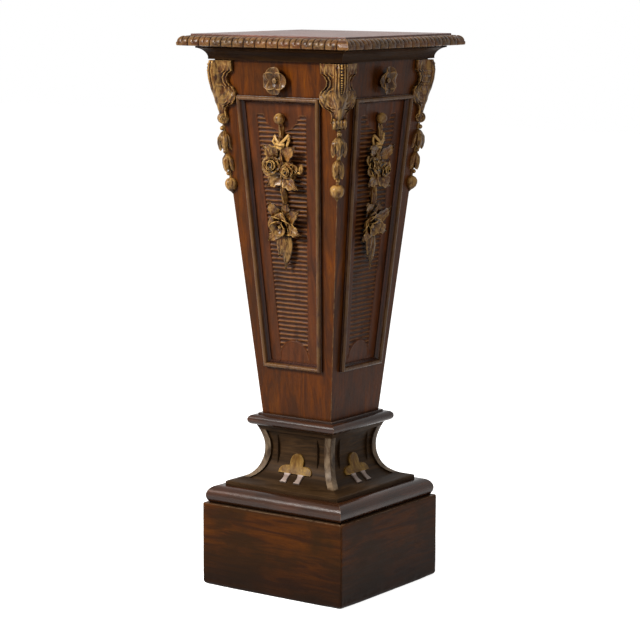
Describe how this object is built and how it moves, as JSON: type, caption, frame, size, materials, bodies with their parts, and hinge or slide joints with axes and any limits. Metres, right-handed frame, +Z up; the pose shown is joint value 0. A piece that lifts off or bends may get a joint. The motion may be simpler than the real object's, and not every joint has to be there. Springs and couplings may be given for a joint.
{
  "type": "pedestal table",
  "caption": "Carved walnut pedestal table: square gadrooned top, tapering shaft with reeded panels, flower drops and corner consoles, on a hollow-curved base and plain plinth.",
  "frame": {"origin": "middle of the square footprint on the floor", "axes": "+Z up, -Y out of the front face, +X out of the right-hand face"},
  "size_m": [0.422, 0.422, 1.14],
  "materials": {
    "walnut_top": "french polished, worn",
    "walnut_edge": "carved and waxed, rubbed on the high spots",
    "walnut_moulding": "stained dark and waxed",
    "walnut_shaft": "stained red-brown and polished",
    "walnut_panel": "carved and stained dark",
    "walnut_frame": "moulded and rubbed back to a lighter brown",
    "walnut_carving": "carved, toned pale on the high spots",
    "walnut_base": "stained dark, dull wax",
    "walnut_plinth": "stained dark, scuffed",
    "inner_wood": "plain sawn, unfinished"
  },
  "bodies": {
    "root": {"top_board": "walnut_top", "top_edge_front": "walnut_edge", "top_edge_right": "walnut_edge", "top_edge_back": "walnut_edge", "top_edge_left": "walnut_edge", "cove_moulding_front": "walnut_moulding", "cove_moulding_right": "walnut_moulding", "cove_moulding_back": "walnut_moulding", "cove_moulding_left": "walnut_moulding", "shaft_board_front": "walnut_shaft", "shaft_board_right": "walnut_shaft", "shaft_board_back": "walnut_shaft", "shaft_board_left": "walnut_shaft", "reeded_panel_front": "walnut_panel", "reeded_panel_right": "walnut_panel", "reeded_panel_back": "walnut_panel", "reeded_panel_left": "walnut_panel", "panel_frame_front": "walnut_frame", "panel_frame_right": "walnut_frame", "panel_frame_back": "walnut_frame", "panel_frame_left": "walnut_frame", "rosette_front": "walnut_carving", "rosette_right": "walnut_carving", "rosette_back": "walnut_carving", "rosette_left": "walnut_carving", "flower_drop_front": "walnut_carving", "flower_drop_right": "walnut_carving", "flower_drop_back": "walnut_carving", "flower_drop_left": "walnut_carving", "corner_console_front_right": "walnut_carving", "corner_console_back_right": "walnut_carving", "corner_console_back_left": "walnut_carving", "corner_console_front_left": "walnut_carving", "husk_pendant_front_right": "walnut_carving", "husk_pendant_back_right": "walnut_carving", "husk_pendant_back_left": "walnut_carving", "husk_pendant_front_left": "walnut_carving", "neck_moulding_front": "walnut_moulding", "neck_moulding_right": "walnut_moulding", "neck_moulding_back": "walnut_moulding", "neck_moulding_left": "walnut_moulding", "neck_deck": "inner_wood", "scotia_board_front": "walnut_base", "scotia_board_right": "walnut_base", "scotia_board_back": "walnut_base", "scotia_board_left": "walnut_base", "torus_moulding_front": "walnut_moulding", "torus_moulding_right": "walnut_moulding", "torus_moulding_back": "walnut_moulding", "torus_moulding_left": "walnut_moulding", "plinth_board_front": "walnut_plinth", "plinth_board_right": "walnut_plinth", "plinth_board_back": "walnut_plinth", "plinth_board_left": "walnut_plinth", "base_deck": "inner_wood", "plinth_glue_blocks": "inner_wood", "top_cleat_board": "inner_wood"}
  },
  "joints": []
}
